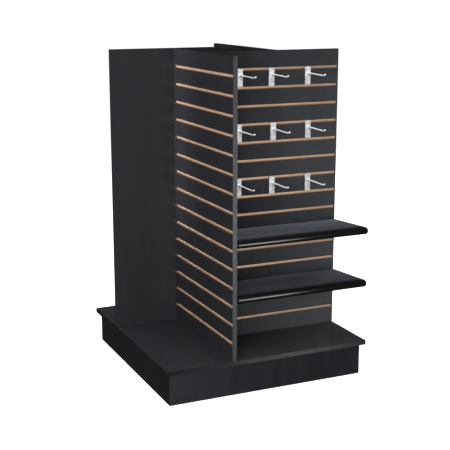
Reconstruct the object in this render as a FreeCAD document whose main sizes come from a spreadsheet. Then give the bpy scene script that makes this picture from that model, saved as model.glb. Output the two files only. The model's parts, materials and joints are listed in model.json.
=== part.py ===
import FreeCAD, Part
import math
import os
import Sketcher

# A free-standing four-way slatwall merchandiser, in millimetres.
# The origin is the centre of the base on the floor. +Z is up, and -Y is the front.
# Four single-sided slatwall panels stand on a square deck. Each one runs from the deck's edge past the
# middle, where its inner end butts against the plain face of the next, so the plan is a pinwheel around
# an open square shaft.

V = FreeCAD.Vector

# ---------------------------------------------------------------- driving dimensions

DIMENSIONS = {
    # Boards and the base
    "deck_side": 914.4,
    "board": 19.05,
    "base_height": 152.4,
    "plinth_inset": 19.05,
    "laminate": 0.7,
    "edge_band": 1.0,
    # Slatwall panels
    "panel_width": 609.6,
    "panel_height": 1219.2,
    "groove_pitch": 76.2,
    "groove_mouth": 11.1,
    "groove_lip": 6.0,
    "cavity_height": 24.0,
    "cavity_depth": 5.2,
    # Hooks: back plate, folded tab and wire arm
    "plate_width": 26.0,
    "plate_height": 74.0,
    "plate_thick": 2.0,
    "plate_gap": 0.2,
    "plate_drop": 1.5,
    "tab_rise": 5.5,
    "tab_clearance": 0.3,
    "wire_radius": 3.1,
    "wire_drop": 27.6,
    "wire_run": 131.0,
    "wire_bend_radius": 14.0,
    "wire_tip": 16.0,
    "wire_droop_angle": 1.0,
    "wire_tip_angle": 20.0,
    "weld_radius": 5.0,
    "weld_length": 2.2,
    # Shelves
    "shelf_length": 608.0,
    "shelf_reach": 285.0,
    "shelf_wall": 3.0,
    "shelf_rib": 2.5,
    "shelf_gap": 3.6,
    "shelf_back_top": 19.0,
    "shelf_rise": 19.5,
    "shelf_chamfer": 4.5,
    "nose_height": 31.0,
    "nose_flat": 1.0,
    "nose_inner_corner": 6.0,
    "skirt_depth": 36.0,
    "tongue_thick": 2.6,
    "tongue_clearance": 1.3,
    "tongue_rise": 8.2,
    "tongue_leg_gap": 0.4,
    "tongue_end_gap": 8.0,
    "heel_height": 6.0,
    "heel_gap": 0.3,
    # Cam fittings and dowels at the panels' inner ends
    "cam_setback": 34.0,
    "cam_radius": 7.4,
    "cam_depth": 12.7,
    "cam_sunk": 0.5,
    "cam_floor_gap": 0.2,
    "cam_channel": 8.0,
    "cam_channel_past": 2.5,
    "cam_slot_length": 9.0,
    "cam_slot_width": 1.8,
    "cam_slot_depth": 2.5,
    "bolt_radius": 3.0,
    "bolt_bore_radius": 3.6,
    "bolt_bite": 10.0,
    "bolt_shank_radius": 2.5,
    "bolt_head_radius": 3.4,
    "bolt_head_length": 3.0,
    "bolt_collar_length": 2.0,
    "dowel_radius": 4.0,
    "dowel_in_end": 20.0,
    "dowel_in_face": 10.0,
    "cap_radius": 8.6,
    "cap_thick": 1.5,
    # Screws up through the deck into the panels
    "screw_radius": 2.5,
    "screw_shank_radius": 3.4,
    "screw_head_radius": 5.0,
    "screw_head_depth": 4.0,
    "screw_bite": 31.0,
    "screw_margin": 60.0,
    # Corner posts and levelling feet
    "post_side": 44.45,
    "post_clearance": 20.0,
    "stud_radius": 4.0,
    "stud_length": 60.0,
    "stud_spare": 10.0,
    "foot_radius": 15.0,
    "foot_height": 8.0,
    "foot_hex": 15.0,
    "nut_flange_radius": 11.0,
    "nut_flange_thick": 1.5,
    "nut_sleeve_wall": 1.5,
    "nut_sleeve_length": 11.0,
    # Deck brackets
    "bracket_leg": 30.0,
    "bracket_width": 24.0,
    "bracket_thick": 2.0,
    "bracket_offset": 260.0,
    "bracket_screw_radius": 1.9,
    "bracket_screw_bite": 11.0,
    "bracket_head_radius": 3.6,
    "bracket_head_thick": 1.8,
    # Clearances
    "close_fit": 0.05,
    "loose_fit": 0.1,
    "bore_end_gap": 0.5,
}

GROOVES = 15
CAM_LEVELS = (1.5, 8.5, 14.5)      # in groove pitches below the panel's top
DOWEL_LEVELS = (3.5, 12.5)
SHELF_BAYS = 6
GRIP_SHARE = 0.75                  # a foot's hexagon grip, as a share of its pad's height
WELD_TAPER = -30                   # degrees
OVERSHOOT = 1.0                    # how far a cutter runs past the face it starts from

# Each row of hooks hangs in one groove, counted from 0 at the top. The places are from the panel's inner end.
HOOK_ROWS = {
    "top": (0, {"left": 143.5, "centre": 289.5, "right": 461.0}),
    "middle": (3, {"left": 140.5, "centre": 299.5, "right": 466.0}),
    "lower": (6, {"left": 139.5, "centre": 296.0, "right": 469.0}),
}
SHELVES = {"upper_shelf": 9, "lower_shelf": 12}

# ---------------------------------------------------------------- document and helpers

doc = FreeCAD.newDocument("SlatwallMerchandiser")
sheet = doc.addObject("Spreadsheet::Sheet", "Dimensions")


class Dim:
    """A length that holds its value and the sheet expression that gives it."""

    def __init__(self, value, text):
        self.value = value
        self.text = text

    def __add__(self, other):
        other = as_dim(other)
        return Dim(self.value + other.value, f"({self.text} + {other.text})")

    def __sub__(self, other):
        other = as_dim(other)
        return Dim(self.value - other.value, f"({self.text} - {other.text})")

    def __mul__(self, factor):
        return Dim(self.value * factor, f"({self.text} * {factor!r})")

    def __neg__(self):
        return self * -1.0

    def __radd__(self, other):
        return as_dim(other) + self

    def __rsub__(self, other):
        return as_dim(other) - self

    def __truediv__(self, divisor):
        return self * (1.0 / divisor)


def as_dim(thing):
    """A plain number as a Dim; a Dim as it is."""
    if isinstance(thing, Dim):
        return thing
    return Dim(float(thing), f"{float(thing)!r}")


def fill_sheet():
    """One row for each driving dimension. Returns name to Dim."""
    cells = dict(DIMENSIONS)
    for row, (_, places) in HOOK_ROWS.items():
        for column, place in places.items():
            cells[f"{row}_{column}_place"] = place
    for number, (name, value) in enumerate(cells.items(), start=1):
        sheet.set(f"A{number}", name)
        sheet.set(f"B{number}", str(value))
        sheet.setAlias(f"B{number}", name)
    doc.recompute()
    return {name: Dim(float(sheet.get(name)), f"Dimensions.{name}") for name in cells}


D = fill_sheet()
NODES = []


def node(thing, name):
    """Names an object as one of the part's nodes."""
    thing.Label = name
    NODES.append(thing)
    return thing


def bind(thing, field, length):
    """Sets a property from a Dim through its expression, or from a plain number."""
    length = as_dim(length)
    thing.setExpression(field, length.text)


def put(thing, x=0.0, y=0.0, z=0.0, turns=0):
    """Places an object at a point, after that many quarter turns about the part's own Z axis."""
    x, y = [(x, y), (-as_dim(y), x), (-as_dim(x), -as_dim(y)), (y, -as_dim(x))][turns % 4]
    thing.Placement = FreeCAD.Placement(V(0, 0, 0), FreeCAD.Rotation(V(0, 0, 1), 90 * turns))
    for field, length in zip("xyz", (x, y, z)):
        bind(thing, f"Placement.Base.{field}", length)
    return thing


def box(name, low, high):
    """A block between two corners, each given as three lengths."""
    block = doc.addObject("Part::Box", name)
    for field, start, end in zip(("Length", "Width", "Height"), low, high):
        bind(block, field, as_dim(end) - start)
    return put(block, *low)


AXIS_TURNS = {
    "+x": FreeCAD.Rotation(V(0, 1, 0), 90),
    "-x": FreeCAD.Rotation(V(0, 1, 0), -90),
    "+y": FreeCAD.Rotation(V(1, 0, 0), -90),
    "-y": FreeCAD.Rotation(V(1, 0, 0), 90),
    "+z": FreeCAD.Rotation(),
    "-z": FreeCAD.Rotation(V(1, 0, 0), 180),
}


def rod(name, start, axis, radius, length):
    """A cylinder from a point, along one of the six axis directions."""
    cylinder = doc.addObject("Part::Cylinder", name)
    bind(cylinder, "Radius", radius)
    bind(cylinder, "Height", length)
    cylinder.Placement = FreeCAD.Placement(V(0, 0, 0), AXIS_TURNS[axis])
    for field, place in zip("xyz", start):
        bind(cylinder, f"Placement.Base.{field}", place)
    return cylinder


def join(name, pieces):
    """Pieces fused into one."""
    fused = doc.addObject("Part::MultiFuse", name)
    fused.Shapes = pieces
    return fused


def group(name, solids):
    """Separate solids kept together as one object."""
    compound = doc.addObject("Part::Compound", name)
    compound.Links = solids
    return compound


def cut(name, base, tools):
    """A base with one or more tools taken away."""
    result = doc.addObject("Part::Cut", name)
    result.Base = base
    result.Tool = tools[0] if len(tools) == 1 else join(f"{name}_tools", tools)
    return result


def sketch_on(body, name, role, offset=0.0):
    """A sketch on one of the body's own origin planes, moved along the plane's normal."""
    plane = [feature for feature in body.Origin.OriginFeatures if feature.Role == role][0]
    sketch = body.newObject("Sketcher::SketchObject", name)
    sketch.AttachmentSupport = [(plane, "")]
    sketch.MapMode = "FlatFace"
    bind(sketch, "AttachmentOffset.Base.z", offset)
    return sketch


def pin_point(sketch, curve, point, place):
    """Fixes a point of a curve at a place, given as two lengths from the sketch's origin."""
    for kind, length in zip(("DistanceX", "DistanceY"), place):
        length = as_dim(length)
        number = sketch.addConstraint(Sketcher.Constraint(kind, -1, 1, curve, point, length.value))
        sketch.setExpression(f"Constraints[{number}]", length.text)


def polygon(sketch, corners):
    """A closed outline through corners, each fixed by its two lengths."""
    places = [V(as_dim(x).value, as_dim(y).value, 0) for x, y in corners]
    first = len(sketch.Geometry)
    count = len(corners)
    for number in range(count):
        line = Part.LineSegment(places[number], places[(number + 1) % count])
        sketch.addGeometry(line, False)
    for number in range(count):
        following = first + (number + 1) % count
        sketch.addConstraint(Sketcher.Constraint("Coincident", first + number, 2, following, 1))
    for number, corner in enumerate(corners):
        pin_point(sketch, first + number, 1, corner)


def rectangle(sketch, low, high):
    """A closed outline of a rectangle between two corners."""
    polygon(sketch, [low, (high[0], low[1]), high, (low[0], high[1])])


def circle(sketch, centre, radius):
    """A circle with its centre and radius fixed."""
    place = V(as_dim(centre[0]).value, as_dim(centre[1]).value, 0)
    number = sketch.addGeometry(Part.Circle(place, V(0, 0, 1), as_dim(radius).value), False)
    pin_point(sketch, number, 3, centre)
    constraint = sketch.addConstraint(Sketcher.Constraint("Radius", number, as_dim(radius).value))
    sketch.setExpression(f"Constraints[{constraint}]", as_dim(radius).text)


def pad(body, name, sketch, length):
    """Material added along the sketch's normal."""
    feature = body.newObject("PartDesign::Pad", name)
    feature.Profile = sketch
    bind(feature, "Length", length)
    return feature


def pocket(body, name, sketch, length, along_normal=False):
    """Material taken away against the sketch's normal, or along it."""
    feature = body.newObject("PartDesign::Pocket", name)
    feature.Profile = sketch
    bind(feature, "Length", length)
    feature.Reversed = along_normal
    return feature


def repeat_along(body, name, feature, direction, spacing, count, backwards=False):
    """The feature repeated in a straight row along one of its sketch's axes."""
    pattern = body.newObject("PartDesign::LinearPattern", name)
    pattern.Originals = [feature]
    pattern.Direction = (feature.Profile[0], [direction])
    pattern.Mode = "Spacing"
    bind(pattern, "Offset", spacing)
    pattern.Occurrences = count
    pattern.Reversed = backwards
    body.Tip = pattern
    return pattern


def repeat_round(body, name, features, count):
    """Features repeated in a full circle about the normal of their sketch."""
    pattern = body.newObject("PartDesign::PolarPattern", name)
    pattern.Originals = features
    pattern.Axis = (features[0].Profile[0], ["N_Axis"])
    pattern.Angle = 360
    pattern.Occurrences = count
    body.Tip = pattern
    return pattern


# ---------------------------------------------------------------- worked-out places

half_deck = D["deck_side"] / 2
half_shaft = D["panel_width"] - half_deck
deck_bottom = D["base_height"] - D["board"]
mouth_half = D["groove_mouth"] / 2
core_width = D["panel_width"] - D["edge_band"]
core_height = D["panel_height"] - D["edge_band"]
core_back = D["board"] - D["laminate"]
next_panel_middle = half_shaft * 2 + D["board"] / 2
dowel_length = D["dowel_in_end"] + D["dowel_in_face"]


def below_top(pitches):
    """A height in a panel, given as groove pitches down from its top."""
    return D["panel_height"] - D["groove_pitch"] * pitches


def place_panel_piece(thing, turns):
    """Puts a piece made in a panel's own frame in its place. That frame has its origin at the inner
    bottom corner of the grooved face, X towards the outer end and Y towards the plain face."""
    return put(thing, -half_shaft, -(half_shaft + D["board"]), D["base_height"], turns)


# ---------------------------------------------------------------- slatwall panels


def panel_core(name, turns):
    """The MDF board: T-grooves on one face, bores for cams, bolts, dowels and foot screws."""
    body = doc.addObject("PartDesign::Body", name)
    outline = sketch_on(body, f"{name}_outline", "YZ_Plane")
    rectangle(outline, (D["laminate"], 0), (core_back, core_height))
    pad(body, f"{name}_board", outline, core_width)

    groove = sketch_on(body, f"{name}_groove_outline", "YZ_Plane", core_width + OVERSHOOT)
    middle = below_top(1)
    lip, back = D["groove_lip"], D["groove_lip"] + D["cavity_depth"]
    half = D["cavity_height"] / 2
    polygon(groove, [
        (-OVERSHOOT, middle - mouth_half), (lip, middle - mouth_half), (lip, middle - half),
        (back, middle - half), (back, middle + half), (lip, middle + half),
        (lip, middle + mouth_half), (-OVERSHOOT, middle + mouth_half),
    ])
    top_groove = pocket(body, f"{name}_top_groove", groove, core_width + 2 * OVERSHOOT)
    repeat_along(body, f"{name}_grooves", top_groove, "V_Axis", D["groove_pitch"], GROOVES, backwards=True)

    face = sketch_on(body, f"{name}_cam_outline", "XZ_Plane", -core_back)
    for level in CAM_LEVELS:
        circle(face, (D["cam_setback"], below_top(level)), D["cam_radius"] + D["loose_fit"])
    pocket(body, f"{name}_cam_bores", face, D["cam_depth"] - D["laminate"], along_normal=True)

    face = sketch_on(body, f"{name}_face_outline", "XZ_Plane", -core_back)
    for level in CAM_LEVELS:
        circle(face, (next_panel_middle, below_top(level)), D["bolt_radius"] + D["close_fit"])
    for level in DOWEL_LEVELS:
        circle(face, (next_panel_middle, below_top(level)), D["dowel_radius"] + D["close_fit"])
    depth = D["bolt_bite"] + D["bore_end_gap"] - D["laminate"]
    pocket(body, f"{name}_face_bores", face, depth, along_normal=True)

    end = sketch_on(body, f"{name}_bolt_outline", "YZ_Plane")
    for level in CAM_LEVELS:
        circle(end, (D["board"] / 2, below_top(level)), D["bolt_bore_radius"])
    pocket(body, f"{name}_bolt_bores", end, D["cam_setback"], along_normal=True)

    end = sketch_on(body, f"{name}_dowel_outline", "YZ_Plane")
    for level in DOWEL_LEVELS:
        circle(end, (D["board"] / 2, below_top(level)), D["dowel_radius"] + D["close_fit"])
    depth = D["dowel_in_end"] + D["bore_end_gap"]
    pocket(body, f"{name}_dowel_bores", end, depth, along_normal=True)

    foot = sketch_on(body, f"{name}_foot_outline", "XY_Plane")
    for place in foot_screw_places():
        circle(foot, (place, D["board"] / 2), D["screw_radius"] + D["close_fit"])
    depth = D["screw_bite"] + D["bore_end_gap"]
    body.Tip = pocket(body, f"{name}_foot_bores", foot, depth, along_normal=True)
    return node(place_panel_piece(body, turns), name)


def foot_screw_places():
    """Where the screws stand along the foot of a panel, from its inner end."""
    return (D["screw_margin"], D["panel_width"] / 2, D["panel_width"] - D["screw_margin"])


def face_strips(name, turns):
    """The face laminate: one strip on each slat, above, between and below the grooves."""
    strips = []
    for slat in range(GROOVES + 1):
        low = as_dim(0) if slat == GROOVES else below_top(slat + 1) + mouth_half
        high = core_height if slat == 0 else below_top(slat) - mouth_half
        strips.append(box(f"{name}_strip", (0, 0, low), (core_width, D["laminate"], high)))
    return node(place_panel_piece(group(name, strips), turns), name)


def back_laminate(name, turns):
    """The plain face's laminate, bored through with the cams, bolts and dowels."""
    sheet_of_it = box(f"{name}_sheet", (0, core_back, 0), (core_width, D["board"], core_height))
    bores = [(D["cam_setback"], level, D["cam_radius"] + D["loose_fit"]) for level in CAM_LEVELS]
    bores += [(next_panel_middle, level, D["bolt_radius"] + D["close_fit"]) for level in CAM_LEVELS]
    bores += [(next_panel_middle, level, D["dowel_radius"] + D["close_fit"]) for level in DOWEL_LEVELS]
    through = D["laminate"] + 2 * OVERSHOOT
    drills = []
    for place, level, radius in bores:
        start = (place, core_back - OVERSHOOT, below_top(level))
        drills.append(rod(f"{name}_drill", start, "+y", radius, through))
    return node(place_panel_piece(cut(name, sheet_of_it, drills), turns), name)


def edge_bands(name, turns):
    """The bands on a panel's outer end and along its top."""
    end = box(f"{name}_end", (core_width, 0, 0), (D["panel_width"], D["board"], core_height))
    top = box(f"{name}_top", (0, 0, core_height), (D["panel_width"], D["board"], D["panel_height"]))
    return node(place_panel_piece(group(name, [end, top]), turns), name)


def panels():
    """The right panel faces the front. Each next one is a quarter turn on."""
    for turns, side in enumerate(("right", "back", "left", "front")):
        panel_core(f"{side}_panel_core", turns)
        face_strips(f"{side}_panel_face_strips", turns)
        back_laminate(f"{side}_panel_back_laminate", turns)
        edge_bands(f"{side}_panel_edge_bands", turns)


# ---------------------------------------------------------------- panel fittings


def cam_lock(name, level):
    """A cam drum with a channel for the bolt's head and a cross slot in its face."""
    middle, height = D["board"] / 2, below_top(level)
    face = D["board"] - D["cam_sunk"]
    low = D["board"] - D["cam_depth"] + D["cam_floor_gap"]
    drum = rod(f"{name}_drum", (D["cam_setback"], low, height), "+y", D["cam_radius"], face - low)
    half = D["cam_channel"] / 2
    channel = box(
        f"{name}_channel",
        (D["cam_setback"] - D["cam_radius"] - OVERSHOOT, middle - half, height - half),
        (D["cam_setback"] + D["cam_channel_past"], middle + half, height + half),
    )
    long_half, short_half = D["cam_slot_length"] / 2, D["cam_slot_width"] / 2
    slots = []
    for half_x, half_z in ((long_half, short_half), (short_half, long_half)):
        slots.append(box(
            f"{name}_slot",
            (D["cam_setback"] - half_x, face - D["cam_slot_depth"], height - half_z),
            (D["cam_setback"] + half_x, face + OVERSHOOT, height + half_z),
        ))
    return cut(name, drum, [channel] + slots)


def cam_bolt(name, level):
    """A bolt that bites into the next panel's plain face and ends in a head inside the cam."""
    middle, height = D["board"] / 2, below_top(level)
    head_start = D["cam_setback"] - D["bolt_head_length"]
    stretches = {
        "bite": (-D["bolt_bite"], D["bolt_radius"], D["bolt_bite"]),
        "collar": (0, D["bolt_head_radius"], D["bolt_collar_length"]),
        "shank": (0, D["bolt_shank_radius"], head_start + D["bolt_head_length"] / 2),
        "head": (head_start, D["bolt_head_radius"], D["bolt_head_length"]),
    }
    pieces = []
    for part, (start, radius, length) in stretches.items():
        pieces.append(rod(f"{name}_{part}", (start, middle, height), "+x", radius, length))
    return join(name, pieces)


def panel_fittings():
    """Cams, bolts, dowels and caps at all four inner ends."""
    cams, bolts, dowels, caps = [], [], [], []
    for turns in range(4):
        for level in CAM_LEVELS:
            cams.append(place_panel_piece(cam_lock("cam", level), turns))
            bolts.append(place_panel_piece(cam_bolt("cam_bolt", level), turns))
            start = (D["cam_setback"], D["board"], below_top(level))
            cap = rod("cap", start, "+y", D["cap_radius"], D["cap_thick"])
            caps.append(place_panel_piece(group("cap_place", [cap]), turns))
        for level in DOWEL_LEVELS:
            start = (-D["dowel_in_face"], D["board"] / 2, below_top(level))
            dowel = rod("dowel", start, "+x", D["dowel_radius"], dowel_length)
            dowels.append(place_panel_piece(group("dowel_place", [dowel]), turns))
    node(group("panel_cam_locks", cams), "panel_cam_locks")
    node(group("panel_cam_bolts", bolts), "panel_cam_bolts")
    node(group("panel_dowels", dowels), "panel_dowels")
    node(group("panel_cam_caps", caps), "panel_cam_caps")


# ---------------------------------------------------------------- deck


def deck_sheet(name, low, high, bracket_holes):
    """A square layer of the deck, drilled for the panel screws and, if asked, for the bracket screws."""
    half = half_deck - D["edge_band"]
    body = doc.addObject("PartDesign::Body", name)
    outline = sketch_on(body, f"{name}_outline", "XY_Plane", low)
    rectangle(outline, (-half, -half), (half, half))
    pad(body, f"{name}_layer", outline, high - low)
    face = sketch_on(body, f"{name}_hole_outline", "XY_Plane", high + OVERSHOOT)
    radius = D["screw_shank_radius"] + D["loose_fit"]
    for place in foot_screw_places():
        circle(face, (place - half_shaft, -(half_shaft + D["board"] / 2)), radius)
    holes = [pocket(body, f"{name}_panel_holes", face, high - low + 2 * OVERSHOOT)]
    if bracket_holes:
        under = sketch_on(body, f"{name}_bracket_hole_outline", "XY_Plane", low)
        for side in (-1, 1):
            place = (D["bracket_offset"] * side, -bracket_screw_line())
            circle(under, place, D["bracket_screw_radius"] + D["close_fit"])
        depth = deck_bottom + D["bracket_screw_bite"] + D["bore_end_gap"] - low
        holes.append(pocket(body, f"{name}_bracket_holes", under, depth, along_normal=True))
    repeat_round(body, f"{name}_all_holes", holes, 4)
    node(body, name)


def bracket_screw_line():
    """How far the deck's bracket screws stand from the middle."""
    return half_deck - D["plinth_inset"] - D["board"] - D["bracket_leg"] / 2


def deck():
    """The deck's core between two laminates, with a band along each edge."""
    core_low = deck_bottom + D["laminate"]
    core_high = D["base_height"] - D["laminate"]
    deck_sheet("deck_core", core_low, core_high, bracket_holes=True)
    deck_sheet("deck_bottom_laminate", deck_bottom, core_low, bracket_holes=True)
    deck_sheet("deck_top_laminate", core_high, D["base_height"], bracket_holes=False)

    inner = half_deck - D["edge_band"]
    bands = []
    for side in (-1, 1):
        low, high = sorted((half_deck * side, inner * side), key=lambda length: length.value)
        bands.append(box("deck_band", (low, -half_deck, deck_bottom), (high, half_deck, D["base_height"])))
        bands.append(box("deck_band", (-inner, low, deck_bottom), (inner, high, D["base_height"])))
    node(group("deck_edge_bands", bands), "deck_edge_bands")


def panel_foot_screws():
    """Countersunk screws, up through the deck into the foot of each panel."""
    screws = []
    middle, under = D["board"] / 2, -D["board"]
    for turns in range(4):
        for place in foot_screw_places():
            head = doc.addObject("Part::Cone", "screw_head")
            bind(head, "Radius1", D["screw_head_radius"])
            bind(head, "Radius2", D["screw_shank_radius"])
            bind(head, "Height", D["screw_head_depth"])
            put(head, place, middle, under - D["screw_head_depth"])
            shank = rod("screw_shank", (place, middle, under), "+z", D["screw_shank_radius"], D["board"])
            thread = rod("screw_thread", (place, middle, 0), "+z", D["screw_radius"], D["screw_bite"])
            screws.append(place_panel_piece(join("foot_screw", [head, shank, thread]), turns))
    node(group("panel_foot_screws", screws), "panel_foot_screws")


# ---------------------------------------------------------------- plinth, rails and posts


def plinth():
    """Side boards run the full depth, with the front and back boards between them."""
    outer = half_deck - D["plinth_inset"]
    inner = outer - D["board"]
    pilot = D["bracket_screw_radius"] + D["close_fit"]
    depth = D["bracket_screw_bite"] + D["bore_end_gap"]
    level = deck_bottom - D["bracket_leg"] / 2
    boards = {
        "plinth_left": ((-outer, -outer), (-inner, outer), "-x"),
        "plinth_right": ((inner, -outer), (outer, outer), "+x"),
        "plinth_front": ((-inner, -outer), (inner, -inner), "-y"),
        "plinth_back": ((-inner, inner), (inner, outer), "+y"),
    }
    for name, (low, high, axis) in boards.items():
        block = box(f"{name}_board", (*low, 0), (*high, deck_bottom))
        face = -inner if axis[0] == "-" else inner
        drills = []
        for side in (-1, 1):
            along = D["bracket_offset"] * side
            start = (face, along, level) if axis[1] == "x" else (along, face, level)
            drills.append(rod(f"{name}_pilot", start, axis, pilot, depth))
        node(cut(name, block, drills), name)


def rails():
    """Two rails that cross under the middle of the deck, each halved to fit over the other."""
    inner = half_deck - D["plinth_inset"] - D["board"]
    half = D["board"] / 2
    past = half + OVERSHOOT
    halfway = deck_bottom / 2
    rail = box("rail_x_board", (-inner, -half, 0), (inner, half, deck_bottom))
    notch = box("rail_x_notch", (-half, -past, halfway), (half, past, deck_bottom + OVERSHOOT))
    node(cut("cross_rail_x", rail, [notch]), "cross_rail_x")
    rail = box("rail_y_board", (-half, -inner, 0), (half, inner, deck_bottom))
    notch = box("rail_y_notch", (-past, -half, -OVERSHOOT), (past, half, halfway))
    node(cut("cross_rail_y", rail, [notch]), "cross_rail_y")


def post_middle():
    """How far a corner post's axis stands from each of the part's middle planes."""
    return half_deck - D["plinth_inset"] - D["board"] - D["post_side"] / 2


def corner_posts():
    """A post in each inner corner of the plinth, bored for a levelling foot."""
    posts, nuts = [], []
    half = D["post_side"] / 2
    bottom = D["post_clearance"]
    nut_low = bottom - D["nut_flange_thick"]
    sleeve_radius = D["stud_radius"] + D["nut_sleeve_wall"]
    for side_x in (-1, 1):
        for side_y in (-1, 1):
            x, y = post_middle() * side_x, post_middle() * side_y
            block = box("post_block", (x - half, y - half, bottom), (x + half, y + half, deck_bottom))
            bore = rod("post_bore", (x, y, bottom - OVERSHOOT), "+z", sleeve_radius + D["loose_fit"],
                       D["stud_length"] + D["stud_spare"])
            posts.append(cut("post", block, [bore]))
            flange = rod("nut_flange", (x, y, nut_low), "+z", D["nut_flange_radius"], D["nut_flange_thick"])
            sleeve = rod("nut_sleeve", (x, y, nut_low), "+z", sleeve_radius, D["nut_sleeve_length"])
            hole = rod("nut_hole", (x, y, nut_low - OVERSHOOT), "+z", D["stud_radius"] + D["close_fit"],
                       D["nut_sleeve_length"] + 2 * OVERSHOOT)
            nuts.append(cut("tee_nut", join("nut_blank", [flange, sleeve]), [hole]))
    node(group("corner_posts", posts), "corner_posts")
    node(group("foot_tee_nuts", nuts), "foot_tee_nuts")


def levelling_foot(name, side_x, side_y):
    """A moulded glide with a hexagon grip on a threaded stud."""
    body = doc.addObject("PartDesign::Body", name)
    pad_outline = sketch_on(body, f"{name}_pad_outline", "XY_Plane")
    circle(pad_outline, (0, 0), D["foot_radius"])
    pad(body, f"{name}_pad", pad_outline, D["foot_height"])
    grip = sketch_on(body, f"{name}_grip_outline", "XY_Plane", D["foot_height"])
    corner = D["foot_hex"] / math.sqrt(3)
    corners = [(corner * math.cos(turn), corner * math.sin(turn)) for turn in hexagon_turns()]
    polygon(grip, corners)
    pad(body, f"{name}_grip", grip, D["foot_height"] * GRIP_SHARE)
    stud = sketch_on(body, f"{name}_stud_outline", "XY_Plane", D["foot_height"])
    circle(stud, (0, 0), D["stud_radius"])
    body.Tip = pad(body, f"{name}_stud", stud, D["stud_length"])
    node(put(body, post_middle() * side_x, post_middle() * side_y, 0), name)


def hexagon_turns():
    """The six corner angles of a hexagon."""
    return [math.radians(60 * corner) for corner in range(6)]


def levelling_feet():
    """One foot in each corner post."""
    for y_name, side_y in (("front", -1), ("back", 1)):
        for x_name, side_x in (("left", -1), ("right", 1)):
            levelling_foot(f"levelling_foot_{y_name}_{x_name}", side_x, side_y)


def deck_brackets():
    """Folded steel angles between the deck and the plinth boards, two to a side, and their screws."""
    brackets, screws = [], []
    inner = half_deck - D["plinth_inset"] - D["board"]
    leg, half, thick = D["bracket_leg"], D["bracket_width"] / 2, D["bracket_thick"]
    radius, loose = D["bracket_screw_radius"], D["bracket_screw_radius"] + D["loose_fit"]
    head_radius, head = D["bracket_head_radius"], D["bracket_head_thick"]
    bite = D["bracket_screw_bite"]
    shank = bite + thick + head / 2
    through = thick + 2 * OVERSHOOT
    middle = deck_bottom - leg / 2
    line = -bracket_screw_line()
    for turns in range(4):
        for side in (-1, 1):
            along = D["bracket_offset"] * side
            up_leg = box("up_leg", (along - half, -inner, deck_bottom - leg),
                         (along + half, -inner + thick, deck_bottom))
            flat_leg = box("flat_leg", (along - half, -inner, deck_bottom - thick),
                           (along + half, -inner + leg, deck_bottom))
            holes = [
                rod("hole", (along, -inner - OVERSHOOT, middle), "+y", loose, through),
                rod("hole", (along, line, deck_bottom - thick - OVERSHOOT), "+z", loose, through),
            ]
            angle = cut("angle", join("angle_blank", [up_leg, flat_leg]), holes)
            brackets.append(put(angle, 0, 0, 0, turns))
            side_screw = join("side_screw", [
                rod("screw", (along, -inner - bite, middle), "+y", radius, shank),
                rod("screw_top", (along, -inner + thick, middle), "+y", head_radius, head),
            ])
            deck_screw = join("deck_screw", [
                rod("screw", (along, line, deck_bottom + bite), "-z", radius, shank),
                rod("screw_top", (along, line, deck_bottom - thick), "-z", head_radius, head),
            ])
            screws.append(put(side_screw, 0, 0, 0, turns))
            screws.append(put(deck_screw, 0, 0, 0, turns))
    node(group("deck_brackets", brackets), "deck_brackets")
    node(group("deck_bracket_screws", screws), "deck_bracket_screws")


# ---------------------------------------------------------------- hooks


def hook_place(row, column):
    """A hook's place: above the middle of its plate, at the groove's upper mouth edge on the panel's face."""
    groove, _ = HOOK_ROWS[row]
    x = D[f"{row}_{column}_place"] - half_shaft
    height = D["base_height"] + below_top(groove + 1) + mouth_half
    return x, -(half_shaft + D["board"]), height


def hook_plate(name, place):
    """The back plate covers one slat. Its tab goes in through the groove's mouth and turns up behind the
    upper lip."""
    body = doc.addObject("PartDesign::Body", name)
    half = D["plate_width"] / 2
    back = -D["plate_gap"]
    front = back - D["plate_thick"]
    top = -D["plate_drop"]
    bottom = top - D["plate_height"]
    tab_low = -D["groove_mouth"] + D["tab_clearance"]
    tab_high = tab_low + D["plate_thick"]
    leg_near = D["groove_lip"] + D["tab_clearance"]
    leg_far = leg_near + D["plate_thick"]
    side = sketch_on(body, f"{name}_side", "YZ_Plane", -half)
    polygon(side, [
        (front, bottom), (back, bottom), (back, tab_low), (leg_far, tab_low),
        (leg_far, D["tab_rise"]), (leg_near, D["tab_rise"]), (leg_near, tab_high), (back, tab_high),
        (back, top), (front, top),
    ])
    pad(body, f"{name}_fold", side, D["plate_width"])
    hole = sketch_on(body, f"{name}_hole_outline", "XZ_Plane", -back)
    circle(hole, (0, -D["wire_drop"]), D["wire_radius"] + D["close_fit"])
    body.Tip = pocket(body, f"{name}_hole", hole, D["plate_thick"] + OVERSHOOT, along_normal=True)
    node(put(body, *place), name)


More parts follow.
